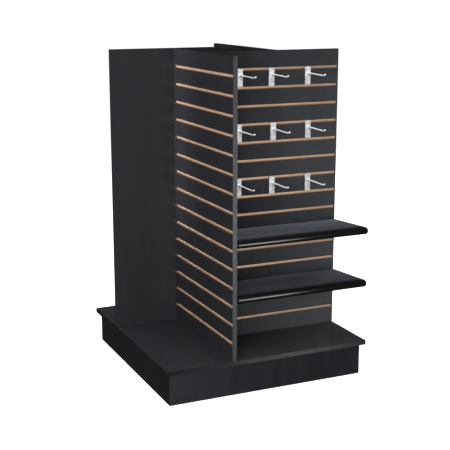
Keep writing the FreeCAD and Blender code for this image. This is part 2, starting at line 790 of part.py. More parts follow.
def hook_arm(name, place):
    """The wire goes out from the plate with a slight droop, and ends in an upturned tip."""
    body = doc.addObject("PartDesign::Body", name)
    droop = math.radians(D["wire_droop_angle"].value)
    rise = math.radians(D["wire_tip_angle"].value)
    radius = D["wire_bend_radius"].value
    run, tip = D["wire_run"].value, D["wire_tip"].value
    wire_start = D["plate_gap"] + D["loose_fit"]
    start = V(-wire_start.value, -D["wire_drop"].value, 0)
    out = V(-math.cos(droop), -math.sin(droop), 0)
    bend = start + out * run
    centre = bend + V(-math.sin(droop), math.cos(droop), 0) * radius
    last = V(-math.cos(rise), math.sin(rise), 0)
    bend_end = centre + V(-math.sin(rise), -math.cos(rise), 0) * radius
    end = bend_end + last * tip

    path = sketch_on(body, f"{name}_path", "YZ_Plane")
    path.addGeometry(Part.LineSegment(start, bend), False)
    quarter = math.pi / 2
    bend_circle = Part.Circle(centre, V(0, 0, 1), radius)
    path.addGeometry(Part.ArcOfCircle(bend_circle, -quarter - rise, -quarter + droop), False)
    path.addGeometry(Part.LineSegment(bend_end, end), False)
    pin_point(path, 0, 1, (-wire_start, -D["wire_drop"]))
    path.addConstraint(Sketcher.Constraint("Tangent", 0, 2, 1, 2))
    path.addConstraint(Sketcher.Constraint("Tangent", 2, 1, 1, 1))
    sizes = (
        ("Distance", (0,), run, "Dimensions.wire_run"),
        ("Distance", (2,), tip, "Dimensions.wire_tip"),
        ("Radius", (1,), radius, "Dimensions.wire_bend_radius"),
    )
    for kind, curve, value, text in sizes:
        number = path.addConstraint(Sketcher.Constraint(kind, *curve, value))
        path.setExpression(f"Constraints[{number}]", text)
    angles = (
        (0, math.pi + droop, "180 deg + Dimensions.wire_droop_angle * 1 deg"),
        (2, math.pi - rise, "180 deg - Dimensions.wire_tip_angle * 1 deg"),
    )
    for curve, value, text in angles:
        number = path.addConstraint(Sketcher.Constraint("Angle", curve, value))
        path.setExpression(f"Constraints[{number}]", text)

    section = sketch_on(body, f"{name}_section", "XZ_Plane", wire_start)
    circle(section, (0, -D["wire_drop"]), D["wire_radius"])
    wire = body.newObject("PartDesign::AdditivePipe", f"{name}_wire")
    wire.Profile = section
    wire.Spine = (path, [])
    collar = sketch_on(body, f"{name}_weld_outline", "XZ_Plane", D["plate_gap"] + D["plate_thick"])
    circle(collar, (0, -D["wire_drop"]), D["weld_radius"])
    weld = pad(body, f"{name}_weld", collar, D["weld_length"])
    weld.TaperAngle = WELD_TAPER
    body.Tip = weld
    node(put(body, *place), name)


def hooks():
    """Three rows of three hooks on the right panel."""
    for row, (_, places) in HOOK_ROWS.items():
        for column in places:
            place = hook_place(row, column)
            hook_plate(f"hook_{row}_{column}_plate", place)
            hook_arm(f"hook_{row}_{column}_arm", place)


# ---------------------------------------------------------------- shelves


def shelf(name, groove):
    """A moulded shelf, hollow below, with ribs, a round nose, a skirt that bears on the slat below the
    groove, and a tongue that turns up behind the groove's upper lip."""
    body = doc.addObject("PartDesign::Body", name)
    half = D["shelf_length"] / 2
    wall = D["shelf_wall"]
    back = -D["shelf_gap"]
    nose_middle = -(D["shelf_reach"] - D["nose_height"] / 2)
    front = -D["shelf_reach"]
    top_back, top_front = D["shelf_back_top"], D["shelf_back_top"] + D["shelf_rise"]
    nose_low = top_front - D["nose_height"]
    chamfer = D["shelf_chamfer"]
    outside = sketch_on(body, f"{name}_side", "YZ_Plane", -half)
    polygon(outside, [
        (back, -D["skirt_depth"]), (back, top_back - chamfer), (back - chamfer, top_back),
        (nose_middle, top_front), (front, top_front), (front, nose_low), (nose_middle, nose_low),
        (back - wall, -D["skirt_depth"]),
    ])
    block = pad(body, f"{name}_block", outside, D["shelf_length"])
    doc.recompute()
    nose = body.newObject("PartDesign::Fillet", f"{name}_nose")
    nose.Base = (block, nose_edges(block.Shape, front.value, half.value))
    bind(nose, "Radius", (D["nose_height"] - D["nose_flat"]) / 2)

    bay_length = (D["shelf_length"] - wall * 2 - D["shelf_rib"] * (SHELF_BAYS - 1)) / SHELF_BAYS
    inside = sketch_on(body, f"{name}_bay_outline", "YZ_Plane", half - wall)
    nose_inner = front + wall
    nose_back = nose_middle + wall
    corner = D["nose_inner_corner"]
    open_low = -D["skirt_depth"] - OVERSHOOT
    polygon(inside, [
        (back - wall, open_low), (back - wall, top_back - chamfer - wall / 2),
        (back - chamfer - wall / 2, top_back - wall), (nose_middle, top_front - wall),
        (nose_inner + corner, top_front - wall), (nose_inner, top_front - wall - corner),
        (nose_inner, nose_low + wall + corner), (nose_inner + corner, nose_low + wall),
        (nose_back, nose_low + wall), (nose_back, open_low),
    ])
    bay = pocket(body, f"{name}_bay", inside, bay_length)
    repeat_along(body, f"{name}_bays", bay, "N_Axis", bay_length + D["shelf_rib"], SHELF_BAYS, backwards=True)

    end_gap = D["tongue_end_gap"]
    tongue = sketch_on(body, f"{name}_tongue_side", "YZ_Plane", end_gap - half)
    low = -mouth_half + D["tongue_clearance"]
    leg_near = D["groove_lip"] + D["tongue_leg_gap"]
    leg_far = leg_near + D["tongue_thick"]
    polygon(tongue, [
        (back, low), (leg_far, low), (leg_far, D["tongue_rise"]), (leg_near, D["tongue_rise"]),
        (leg_near, low + D["tongue_thick"]), (back, low + D["tongue_thick"]),
    ])
    pad(body, f"{name}_tongue", tongue, D["shelf_length"] - end_gap * 2)

    heel = sketch_on(body, f"{name}_heel_side", "YZ_Plane", -half)
    rectangle(heel, (back, -D["skirt_depth"]), (-D["heel_gap"], D["heel_height"] - D["skirt_depth"]))
    body.Tip = pad(body, f"{name}_heel", heel, D["shelf_length"])
    x = half_deck - D["panel_width"] / 2
    height = D["base_height"] + below_top(groove + 1)
    node(put(body, x, -(half_shaft + D["board"]), height), name)


def nose_edges(shape, front, half):
    """The names of the two long edges at the very front of a shelf."""
    names = []
    for number, edge in enumerate(shape.Edges, start=1):
        box_of_it = edge.BoundBox
        at_front = abs(box_of_it.YMin - front) < 0.01 and abs(box_of_it.YMax - front) < 0.01
        if at_front and box_of_it.XLength > half:
            names.append(f"Edge{number}")
    return names


def shelves():
    """Two shelves in the lower grooves of the right panel."""
    for name, groove in SHELVES.items():
        shelf(name, groove)


# ---------------------------------------------------------------- build, check and write


def check():
    """Stops if a feature failed, a cut removed nothing, or a node's shape isn't sound."""
    for thing in doc.Objects:
        if "Invalid" in thing.State or "Error" in thing.State:
            raise RuntimeError(f"{thing.Name} failed: {thing.State}")
        if thing.TypeId == "PartDesign::Pocket":
            if thing.Shape.Volume > thing.BaseFeature.Shape.Volume - 1.0:
                raise RuntimeError(f"{thing.Name} cut nothing")
    for thing in NODES:
        if thing.Shape.isNull() or not thing.Shape.isValid() or not thing.Shape.Solids:
            raise RuntimeError(f"{thing.Label} has no sound shape")


def write():
    """One STEP file for each node."""
    os.makedirs("parts", exist_ok=True)
    for thing in NODES:
        thing.Shape.exportStep(f"parts/{thing.Label}.step")
        size = thing.Shape.BoundBox
        print(f"{thing.Label}: {len(thing.Shape.Solids)} solids, {thing.Shape.Volume / 1000:.1f} cm3, "
              f"x {size.XMin:.1f} to {size.XMax:.1f}, y {size.YMin:.1f} to {size.YMax:.1f}, "
              f"z {size.ZMin:.1f} to {size.ZMax:.1f}")
    print(len(NODES), "nodes")


panels()
panel_fittings()
deck()
panel_foot_screws()
plinth()
rails()
corner_posts()
levelling_feet()
deck_brackets()
hooks()
shelves()
doc.recompute()
check()
write()
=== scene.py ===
import json
import math

import bmesh
import bpy
from mathutils import Matrix, Vector


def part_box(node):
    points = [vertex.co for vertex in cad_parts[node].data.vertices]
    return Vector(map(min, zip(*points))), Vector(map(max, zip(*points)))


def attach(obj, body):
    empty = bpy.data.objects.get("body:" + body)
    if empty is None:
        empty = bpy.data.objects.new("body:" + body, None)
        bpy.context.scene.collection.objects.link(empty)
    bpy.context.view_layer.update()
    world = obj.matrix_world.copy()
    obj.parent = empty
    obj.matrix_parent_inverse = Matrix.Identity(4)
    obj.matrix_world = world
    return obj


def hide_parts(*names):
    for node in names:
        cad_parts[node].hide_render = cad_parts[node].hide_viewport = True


# A four-way slatwall merchandiser: black boards, raw fibreboard showing in the grooves, plated wire
# hooks and moulded shelves. Lengths are in metres and angles in degrees, in the frame's own axes:
# +Z up, -Y the front.

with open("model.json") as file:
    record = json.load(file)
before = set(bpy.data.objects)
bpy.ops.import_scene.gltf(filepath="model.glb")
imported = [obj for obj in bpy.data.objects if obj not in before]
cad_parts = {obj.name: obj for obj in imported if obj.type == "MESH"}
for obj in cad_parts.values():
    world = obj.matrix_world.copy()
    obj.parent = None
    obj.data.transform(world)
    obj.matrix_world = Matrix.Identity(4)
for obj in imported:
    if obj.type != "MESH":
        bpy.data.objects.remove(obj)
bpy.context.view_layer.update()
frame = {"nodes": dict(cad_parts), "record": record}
scene = bpy.context.scene
nodes = frame["nodes"]

MM = 0.001

# The slatwall's groove
GROOVE_LIP = 6.0 * MM
MOUTH_HALF = 5.55 * MM

# ---------------------------------------------------------------- meshes

MERGE_DISTANCE = 0.002 * MM
SHARP_ANGLE = 35
BROAD = 2.5 * MM            # a face is broad when its area is more than this times its girth
MITRE_LIMIT = 1.6           # how far a sharp outline corner may move, against a straight stretch
TINY = 1e-9                 # keeps a division from 0


def new_object(name, data):
    """An object in the scene."""
    made = bpy.data.objects.new(name, data)
    scene.collection.objects.link(made)
    return made


def shade(mesh, sharp_angle):
    """Soft shading over rounds. Hard edges and broad flat faces stay flat."""
    mesh.shade_smooth()
    mesh.set_sharp_from_angle(angle=math.radians(sharp_angle))
    for face in mesh.polygons:
        corners = [mesh.vertices[number].co for number in face.vertices]
        girth = sum((a - b).length for a, b in zip(corners, corners[1:] + corners[:1]))
        face.use_smooth = face.area < BROAD * girth


def mesh_from(bm, name, sharp_angle=SHARP_ANGLE):
    """The finished bmesh as a shaded mesh, with doubled vertices merged."""
    bmesh.ops.remove_doubles(bm, verts=bm.verts, dist=MERGE_DISTANCE)
    bmesh.ops.recalc_face_normals(bm, faces=bm.faces)
    mesh = bpy.data.meshes.new(name)
    bm.to_mesh(mesh)
    bm.free()
    shade(mesh, sharp_angle)
    return mesh


def quarter_turn(steps):
    """Angles in radians from 0 to 90 degrees."""
    return [math.radians(90 * k / steps) for k in range(steps + 1)]


def arc(centre, radius, start, end, steps):
    """Points along an arc in a plane; angles run from the first axis towards the second."""
    turns = [math.radians(start + (end - start) * k / steps) for k in range(steps + 1)]
    return [(centre[0] + radius * math.cos(t), centre[1] + radius * math.sin(t)) for t in turns]


def ring_between(bm, first, second):
    """Quads between two closed rings of vertices."""
    count = len(first)
    for k in range(count):
        after = (k + 1) % count
        bm.faces.new((first[k], first[after], second[after], second[k]))


def skin(bm, rings):
    """A closed skin over a row of rings."""
    for first, second in zip(rings, rings[1:]):
        ring_between(bm, first, second)
    bm.faces.new(rings[0])
    bm.faces.new(rings[-1])


def inward_normals(outline):
    """The direction into a closed outline at each of its points, longer at a corner so that the
    sides next to it move in evenly."""
    area = sum(a[0] * b[1] - b[0] * a[1] for a, b in zip(outline, outline[1:] + outline[:1]))
    side = 1 if area > 0 else -1
    normals = []
    for k, here in enumerate(outline):
        before, after = outline[k - 1], outline[(k + 1) % len(outline)]
        edges = []
        for a, b in ((before, here), (here, after)):
            length = math.hypot(b[0] - a[0], b[1] - a[1])
            edges.append((-(b[1] - a[1]) / length * side, (b[0] - a[0]) / length * side))
        y, z = edges[0][0] + edges[1][0], edges[0][1] + edges[1][1]
        length = max(math.hypot(y, z), TINY)
        stretch = min(2 / length, MITRE_LIMIT) / length
        normals.append((y * stretch, z * stretch))
    return normals


def extrude_outline(bm, outline, low, high, rounds, steps=3):
    """A solid from an outline in the YZ plane, run along X, with rounded edges round both ends.
    rounds is one edge radius, or a list with one for each of the outline's points."""
    inward = inward_normals(outline)
    stations = [(1 - math.cos(turn), 1 - math.sin(turn)) for turn in quarter_turn(steps)]
    places = [(low, 1, s) for s in stations] + [(high, -1, s) for s in reversed(stations)]
    rings = []
    for end, side, (along, inset) in places:
        ring = []
        for number, (y, z) in enumerate(outline):
            radius = rounds[number] if isinstance(rounds, list) else rounds
            ny, nz = inward[number]
            ring.append(bm.verts.new((
                end + side * along * radius, y + ny * inset * radius, z + nz * inset * radius,
            )))
        rings.append(ring)
    skin(bm, rings)


def tube(bm, places, radii, sides=20):
    """A closed tube through places, with its own radius at each. It ends in a point."""
    across = Vector((1, 0, 0))
    rings = []
    for number, (place, radius) in enumerate(zip(places[:-1], radii)):
        along = (places[number + 1] - places[max(number - 1, 0)]).normalized()
        upward = along.cross(across).normalized()
        turns = [math.tau * k / sides for k in range(sides)]
        rings.append([bm.verts.new(place + (across * math.cos(t) + upward * math.sin(t)) * radius)
                      for t in turns])
    point, last = bm.verts.new(places[-1]), rings[-1]
    for first, second in zip(rings, rings[1:]):
        ring_between(bm, first, second)
    for k in range(sides):
        bm.faces.new((last[k], last[(k + 1) % sides], point))
    bm.faces.new(rings[0])


# ---------------------------------------------------------------- hooks

PLATE_THICK = 2.0 * MM
PLATE_CORNER = 2.2 * MM
PLATE_EDGE = 0.45 * MM
TAB_BEND = 2.4 * MM
TAB_HEIGHT = 16.3 * MM
TAB_EDGE = 0.3 * MM
TAB_ROOT = 0.5 * MM                 # how far the tab runs into the plate
TAB_ABOVE_PLATE = 7.05 * MM
WIRE_RADIUS = 3.1 * MM
WIRE_RUN = 131 * MM
WIRE_BEND = 14 * MM
WIRE_TIP = 16 * MM
WIRE_DROOP = 1.0
WIRE_RISE = 20.0
WIRE_SHARP_ANGLE = 60
RUN_STATIONS = (0.35, 0.7, 1.0)     # rings along the straight run, as shares of it
WELD_RADIUS = 5.0 * MM
WELD_LENGTH = 2.6 * MM
WELD_STEPS = 5
BEND_STEPS = 8
TIP_STEPS = 5


def rounded_plate(bm, low, high, corner, edge):
    """An upright plate with rounded corners and softened edges; low and high are its box."""
    half_x, half_z = (high.x - low.x) / 2, (high.z - low.z) / 2
    middle = (low + high) / 2
    in_x, in_z = half_x - corner, half_z - corner
    outline = []
    corners = ((in_x, in_z), (-in_x, in_z), (-in_x, -in_z), (in_x, -in_z))
    for number, centre in enumerate(corners):
        outline += arc(centre, corner, 90 * number, 90 * number + 90, steps=4)
    levels = []
    for end, side in ((low.y, 1), (high.y, -1)):
        row = [(end + side * edge * (1 - math.sin(t)), edge * (1 - math.cos(t)))
               for t in quarter_turn(steps=3)]
        levels += row[::-1] if side == 1 else row
    rings = []
    for y, inset in levels:
        share_x, share_z = 1 - inset / half_x, 1 - inset / half_z
        rings.append([bm.verts.new((middle.x + x * share_x, y, middle.z + z * share_z))
                      for x, z in outline])
    skin(bm, rings)


def hook_plate(name):
    """The plate in front of the slat, and the tab that bends up behind the groove's lip."""
    low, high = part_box(name)
    bm = bmesh.new()
    plate_back = low.y + PLATE_THICK
    plate_corner = Vector((high.x, plate_back, high.z - TAB_ABOVE_PLATE))
    rounded_plate(bm, low, plate_corner, PLATE_CORNER, PLATE_EDGE)
    root = plate_back - TAB_ROOT
    tab_low = high.z - TAB_HEIGHT
    bend = (high.y - TAB_BEND, tab_low + TAB_BEND)
    outline = [(root, tab_low)]
    outline += arc(bend, TAB_BEND, 270, 360, steps=6)
    outline += [(high.y, high.z), (high.y - PLATE_THICK, high.z)]
    outline += arc(bend, TAB_BEND - PLATE_THICK, 360, 270, steps=4)
    outline += [(root, tab_low + PLATE_THICK)]
    extrude_outline(bm, outline, low.x, high.x, TAB_EDGE)
    return mesh_from(bm, name)


def hook_arm(name):
    """The wire: a straight run with a slight droop, one bend, and a short tip with a round end."""
    low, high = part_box(name)
    droop, rise = math.radians(WIRE_DROOP), math.radians(WIRE_RISE)
    climb = (WIRE_BEND * (math.cos(droop) - math.cos(rise)) + WIRE_TIP * math.sin(rise)
             + WIRE_RADIUS * math.cos(rise))
    start_z = max(high.z - climb + WIRE_RUN * math.sin(droop), low.z + WELD_RADIUS)
    start = Vector(((low.x + high.x) / 2, high.y, start_z))
    out = Vector((0, -math.cos(droop), -math.sin(droop)))
    places, radii = [], []
    for k in range(WELD_STEPS + 1):
        share = k / WELD_STEPS
        places.append(start + out * (PLATE_THICK + WELD_LENGTH * share))
        radii.append(WIRE_RADIUS + (WELD_RADIUS - WIRE_RADIUS) * (1 - share) ** 2)
    for share in RUN_STATIONS:
        places.append(start + out * (WIRE_RUN * share))
        radii.append(WIRE_RADIUS)
    centre = places[-1] + Vector((0, -math.sin(droop), math.cos(droop))) * WIRE_BEND
    for k in range(1, BEND_STEPS + 1):
        turn = -droop + (rise + droop) * k / BEND_STEPS
        places.append(centre + Vector((0, -math.sin(turn), -math.cos(turn))) * WIRE_BEND)
        radii.append(WIRE_RADIUS)
    along_tip = Vector((0, -math.cos(rise), math.sin(rise)))
    tip = places[-1] + along_tip * (WIRE_TIP - WIRE_RADIUS)
    for turn in quarter_turn(TIP_STEPS):
        places.append(tip + along_tip * (WIRE_RADIUS * math.sin(turn)))
        radii.append(WIRE_RADIUS * math.cos(turn))
    bm = bmesh.new()
    tube(bm, places, radii)
    return mesh_from(bm, name, WIRE_SHARP_ANGLE)


def add_hooks(plate_finish, wire_finish):
    """Every hook's plate and arm, each standing for its CAD node."""
    pieces = []
    for name in sorted(nodes):
        if not name.startswith("hook_"):
            continue
        is_plate = name.endswith("_plate")
        piece = new_object(f"{name}_formed", hook_plate(name) if is_plate else hook_arm(name))
        piece.data.materials.append(plate_finish if is_plate else wire_finish)
        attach(piece, name.rsplit("_", 1)[0])
        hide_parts(name)
        pieces.append(piece)
    return pieces


# ---------------------------------------------------------------- shelves

SHELF_WALL = 3.0 * MM
SHELF_RIB = 2.5 * MM
SHELF_BAYS = 6
SHELF_RISE = 19.5 * MM              # from the top's back edge to the top of the nose
SHELF_GAP = 3.6 * MM                # between the slats and the shelf's back
SHELF_SHARP_ANGLE = 32
SKIRT = 36.0 * MM                   # from the groove's middle down to the shelf's lowest edge
BACK_ROUND = 4.5 * MM
BODY_END_ROUND = 2.0 * MM
NOSE_RADIUS = 31.0 * MM / 2
NOSE_END_ROUND = 9.0 * MM
BAY_CHAMFER = 3 * MM
BAY_EDGE = 0.4 * MM
BAY_OVERSHOOT = 2 * MM              # how far a bay's cutter runs past the skirt
ROOT = 1 * MM                       # how far the tongue and heel run into the body
TONGUE_THICK = 2.6 * MM
TONGUE_TOP = 8.2 * MM
TONGUE_CLEARANCE = 1.3 * MM
TONGUE_LIP_GAP = 0.4 * MM
TONGUE_EDGE = 0.5 * MM
TONGUE_END_GAP = 8 * MM
HEEL_GAP = 0.3 * MM
HEEL_HEIGHT = 6 * MM
HEEL_EDGE = 0.4 * MM
HEEL_END_GAP = 3 * MM
LEVEL_ENOUGH = 0.985                # upward share of a normal, from which a face is the matt top


def shelf_outline(back, level, front, top):
    """The shelf's outer side view: skirt, top, round nose. Returns its points and end rounds."""
    nose = (front + NOSE_RADIUS, top - NOSE_RADIUS)
    turn = (back - BACK_ROUND, top - SHELF_RISE - BACK_ROUND)
    slope = math.degrees(math.atan2(SHELF_RISE, turn[0] - nose[0]))
    body = [(back, level - SKIRT)] + arc(turn, BACK_ROUND, 0, 90 - slope, steps=4)
    round_nose = arc(nose, NOSE_RADIUS, 90 - slope * 0.5, 270, steps=18)
    points = body + round_nose + [(back - SHELF_WALL, level - SKIRT)]
    rounds = ([BODY_END_ROUND] * len(body) + [NOSE_END_ROUND] * len(round_nose)
              + [BODY_END_ROUND])
    return points, rounds


def bay_outline(back, level, front, top):
    """The hollow below the top, between two ribs."""
    inside = back - SHELF_WALL
    nose = (front + NOSE_RADIUS, top - NOSE_RADIUS)
    inner = NOSE_RADIUS - SHELF_WALL
    ceiling = top - SHELF_RISE - SHELF_WALL
    low = level - SKIRT - BAY_OVERSHOOT
    points = [(inside, low), (inside, ceiling - BAY_CHAMFER), (inside - BAY_CHAMFER, ceiling)]
    points += arc(nose, inner, 90, 270, steps=14)
    points += [(nose[0] + SHELF_WALL, nose[1] - inner), (nose[0] + SHELF_WALL, low)]
    return points


def boolean(base, tool, operation):
    """Joins or cuts with another object, which is then removed."""
    step = base.modifiers.new("shape", "BOOLEAN")
    step.operation = operation
    step.solver = "EXACT"
    step.object = tool
    depsgraph = bpy.context.evaluated_depsgraph_get()
    mesh = bpy.data.meshes.new_from_object(base.evaluated_get(depsgraph))
    base.modifiers.clear()
    base.data = mesh
    bpy.data.objects.remove(tool)


def solid(name, outline, low, high, rounds):
    """An object from an outline run along X."""
    bm = bmesh.new()
    extrude_outline(bm, outline, low, high, rounds, steps=5)
    return new_object(name, mesh_from(bm, name))


def add_shelf(name, finishes):
    """A moulded shelf, hollow and ribbed below, with its tongue and heel."""
    low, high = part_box(name)
    level = low.z + SKIRT
    slat_face = high.y - GROOVE_LIP - TONGUE_LIP_GAP - TONGUE_THICK
    back = slat_face - SHELF_GAP
    outline, rounds = shelf_outline(back, level, low.y, high.z)
    piece = solid(f"{name}_moulding", outline, low.x, high.x, rounds)

    span = high.x - low.x - 2 * SHELF_WALL
    bay = (span - SHELF_RIB * (SHELF_BAYS - 1)) / SHELF_BAYS
    hollow = bay_outline(back, level, low.y, high.z)
    cutters = bmesh.new()
    for number in range(SHELF_BAYS):
        start = low.x + SHELF_WALL + number * (bay + SHELF_RIB)
        extrude_outline(cutters, hollow, start, start + bay, BAY_EDGE)
    boolean(piece, new_object("bays", mesh_from(cutters, "bays")), "DIFFERENCE")

    root = back - ROOT
    tab_low, tab_high = level - MOUTH_HALF + TONGUE_CLEARANCE, level + TONGUE_TOP
    near = slat_face + GROOVE_LIP + TONGUE_LIP_GAP
    far = near + TONGUE_THICK
    tongue = [(root, tab_low), (far, tab_low), (far, tab_high), (near, tab_high),
              (near, tab_low + TONGUE_THICK), (root, tab_low + TONGUE_THICK)]
    heel_face = slat_face - HEEL_GAP
    heel = [(root, low.z), (heel_face, low.z), (heel_face, low.z + HEEL_HEIGHT),
            (root, low.z + HEEL_HEIGHT)]
    for part, shape, gap, edge in (
        ("tongue", tongue, TONGUE_END_GAP, TONGUE_EDGE),
        ("heel", heel, HEEL_END_GAP, HEEL_EDGE),
    ):
        boolean(piece, solid(part, shape, low.x + gap, high.x - gap, edge), "UNION")

    mesh = piece.data
    shade(mesh, SHELF_SHARP_ANGLE)
    mesh.materials.clear()
    for finish in finishes:
        mesh.materials.append(finish)
    for face in mesh.polygons:
        # Upward faces take the lighter grey, partly painted sheen; every other face is the black
        # nose plastic.
        face.material_index = 0 if face.normal.z > LEVEL_ENOUGH else 1
    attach(piece, name)
    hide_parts(name)
    return piece


# ---------------------------------------------------------------- materials

# The mix node's sockets for colours; it has others of the same names for plain values
MIX_SHARE, MIX_FIRST, MIX_SECOND, MIX_RESULT = 0, 6, 7, 2


def scaled(colour, factor):
    """A lighter or darker shade of a colour."""
    return tuple(channel * factor for channel in colour)


class Look:
    """A node material round one Principled shader, in the object's own coordinates."""

    def __init__(self, name):
        self.material = bpy.data.materials.new(name)
        self.material.use_nodes = True
        self.tree = self.material.node_tree
        self.shader = self.tree.nodes["Principled BSDF"]
        self.place = self.node("ShaderNodeTexCoord").outputs["Object"]

    def node(self, kind, **fields):
        """A new node with some of its fields set."""
        made = self.tree.nodes.new(kind)
        for field, value in fields.items():
            setattr(made, field, value)
        return made

    def link(self, source, target):
        """Joins an output socket to an input socket."""
        self.tree.links.new(source, target)

    def noise(self, scale, detail=3.0, stretch=(1, 1, 1), rough=0.5):
        """A noise whose cells are 1/scale metres wide, longer along an axis where stretch is
        small."""
        mapping = self.node("ShaderNodeMapping")
        mapping.inputs["Scale"].default_value = stretch
        self.link(self.place, mapping.inputs["Vector"])
        texture = self.node("ShaderNodeTexNoise")
        texture.inputs["Scale"].default_value = scale
        texture.inputs["Detail"].default_value = detail
        texture.inputs["Roughness"].default_value = rough
        self.link(mapping.outputs["Vector"], texture.inputs["Vector"])
        return texture.outputs["Fac"]

    def ramp(self, factor, stops):
        """A colour ramp; stops are (position, colour)."""
        made = self.node("ShaderNodeValToRGB")
        elements = made.color_ramp.elements
        while len(elements) < len(stops):
            elements.new(0.5)
        for element, (position, colour) in zip(elements, stops):
            element.position = position
            element.color = (*colour, 1)
        self.link(factor, made.inputs["Fac"])
        return made.outputs["Color"]

    def between(self, factor, first, second):
        """A noise's middle stretch as a run from one colour to another."""
        return self.ramp(factor, [(0.3, first), (0.7, second)])

    def shades(self, factor, colour, dark, light):
        """A noise's middle stretch as darker and lighter shades of a colour."""
        return self.between(factor, scaled(colour, dark), scaled(colour, light))

    def spread(self, factor, low, high, start=0.3, end=0.7):
        """A factor's middle stretch mapped to a range of values."""
        made = self.node("ShaderNodeMapRange")
        for field, value in (("From Min", start), ("From Max", end),
                             ("To Min", low), ("To Max", high)):
            made.inputs[field].default_value = value
        self.link(factor, made.inputs["Value"])
        return made.outputs["Result"]

    def mix(self, share, first, second, blend="MIX"):
        """Two colours mixed, or multiplied, by a fixed share."""
        made = self.node("ShaderNodeMix", data_type="RGBA", blend_type=blend)
        made.inputs[MIX_SHARE].default_value = share
        self.link(first, made.inputs[MIX_FIRST])
        self.link(second, made.inputs[MIX_SECOND])
        return made.outputs[MIX_RESULT]

    def bump(self, height, depth, strength):
        """Raises the surface by a factor, up to a depth."""
        made = self.node("ShaderNodeBump")
        made.inputs["Distance"].default_value = depth
        made.inputs["Strength"].default_value = strength
        self.link(height, made.inputs["Height"])
        self.link(made.outputs["Normal"], self.shader.inputs["Normal"])

    def finish(self, colour, rough=None, **constants):
        """Links the colour, and the roughness if it varies, sets the shader's constant values, and
        returns the material."""
        self.link(colour, self.shader.inputs["Base Color"])
        if rough:
            self.link(rough, self.shader.inputs["Roughness"])
        for field, value in constants.items():
            self.shader.inputs[field.replace("_", " ")].default_value = value
        return self.material


def black_laminate(name, colour, rough, grain, pebble):
    """Satin black laminate: faint bands and streaks along its grain and slow changes in sheen,
    with a fine pebble unless its depth is 0."""
    look = Look(name)
    slow = look.noise(2.2, detail=2)
    bands = look.noise(11, detail=2, stretch=grain)
    streaks = look.noise(130, detail=4, stretch=grain, rough=0.7)
    tone = look.mix(0.5, look.shades(bands, colour, 0.84, 1.18),
                    look.shades(streaks, colour, 0.74, 1.26))
    if pebble:
        look.bump(look.noise(700, detail=3), pebble, 0.25)
    return look.finish(tone, look.spread(slow, rough - 0.05, rough + 0.05),
                       Specular_IOR_Level=0.45)


def edge_band(name, colour):
    """Edge band, with a fine grain and a slightly worn sheen."""
    look = Look(name)
    grain = look.noise(900, detail=3, stretch=(1, 1, 0.25))
    tone = look.ramp(grain, [(0.35, scaled(colour, 0.78)), (0.65, scaled(colour, 1.22))])
    look.bump(grain, 0.04 * MM, 0.6)
    return look.finish(tone, look.spread(look.noise(30), 0.42, 0.55), Specular_IOR_Level=0.3)


def fibreboard():
    """Raw routed fibreboard: warm tan, with fibres and slow patches of lighter and darker tan."""
    look = Look("fibreboard")
    fibres = look.noise(700, detail=4)
    patches = look.noise(18, detail=3)
    tone = look.mix(0.5, look.between(fibres, (0.450, 0.285, 0.180), (0.555, 0.375, 0.258)),
                    look.between(patches, (0.450, 0.285, 0.175), (0.550, 0.375, 0.260)))
    look.bump(fibres, 0.05 * MM, 0.3)
    return look.finish(tone, look.spread(patches, 0.85, 0.95), Specular_IOR_Level=0.2)


def softwood():
    """Planed pine: pale, with grain along the piece."""
    look = Look("softwood")
    grain = look.noise(70, detail=4, stretch=(0.06, 0.06, 1), rough=0.6)
    tone = look.ramp(grain, [(0.3, (0.50, 0.34, 0.19)), (0.5, (0.66, 0.49, 0.30)),
                             (0.7, (0.72, 0.56, 0.37))])
    look.bump(grain, 0.15 * MM, 0.5)
    return look.finish(tone, look.spread(grain, 0.6, 0.75))


def plinth_board():
    """Black painted board, a shade darker than the laminate."""
    look = Look("plinth_board")
    colour = (0.0094, 0.0095, 0.0113)
    slow = look.noise(3.0, detail=2)
    streaks = look.noise(45, detail=3, stretch=(1, 1, 0.12))
    tone = look.mix(0.6, look.shades(slow, colour, 0.88, 1.15),
                    look.shades(streaks, colour, 0.8, 1.2))
    look.bump(look.noise(420, detail=3), 0.05 * MM, 0.4)
    return look.finish(tone, look.spread(slow, 0.34, 0.44), Specular_IOR_Level=0.28)


def zinc():
    """Zinc-plated hardware."""
    look = Look("zinc")
    blotch = look.noise(260, detail=3)
    tone = look.between(blotch, (0.50, 0.51, 0.53), (0.66, 0.67, 0.68))
    look.bump(look.noise(1500, detail=2), 0.02 * MM, 0.5)
    return look.finish(tone, look.spread(blotch, 0.28, 0.42), Metallic=1.0)


def plated_steel(name, dull, bright, haze_scale, metallic):
    """Plated steel, with fine drawing lines and a haze. Its pale tone is partly the plating's
    silver and partly painted reflection, laid on as a mostly unmetallic colour.
    """
    look = Look(name)
    lines = look.noise(1500, detail=2, stretch=(1, 0.05, 0.05))
    haze = look.noise(haze_scale, detail=3)
    tone = look.between(haze, dull, bright)
    look.bump(lines, 0.015 * MM, 0.4)
    return look.finish(tone, look.spread(haze, 0.30, 0.40), Metallic=metallic)


def moulded(name, colour, rough, grain_depth):
    """Moulded plastic with a fine leather-like grain."""
    look = Look(name)
    slow = look.noise(9, detail=3, stretch=(0.25, 1, 1))
    tone = look.shades(slow, colour, 0.85, 1.2)
    look.bump(look.noise(1100, detail=3), grain_depth, 0.6)
    return look.finish(tone, look.spread(slow, rough * 0.88, rough * 1.15),
                       Specular_IOR_Level=0.5)


# Where along Y the shelf tops' painted shade and light start and end
SHELF_TOP_FRONT, SHELF_TOP_BACK = -0.44, -0.18


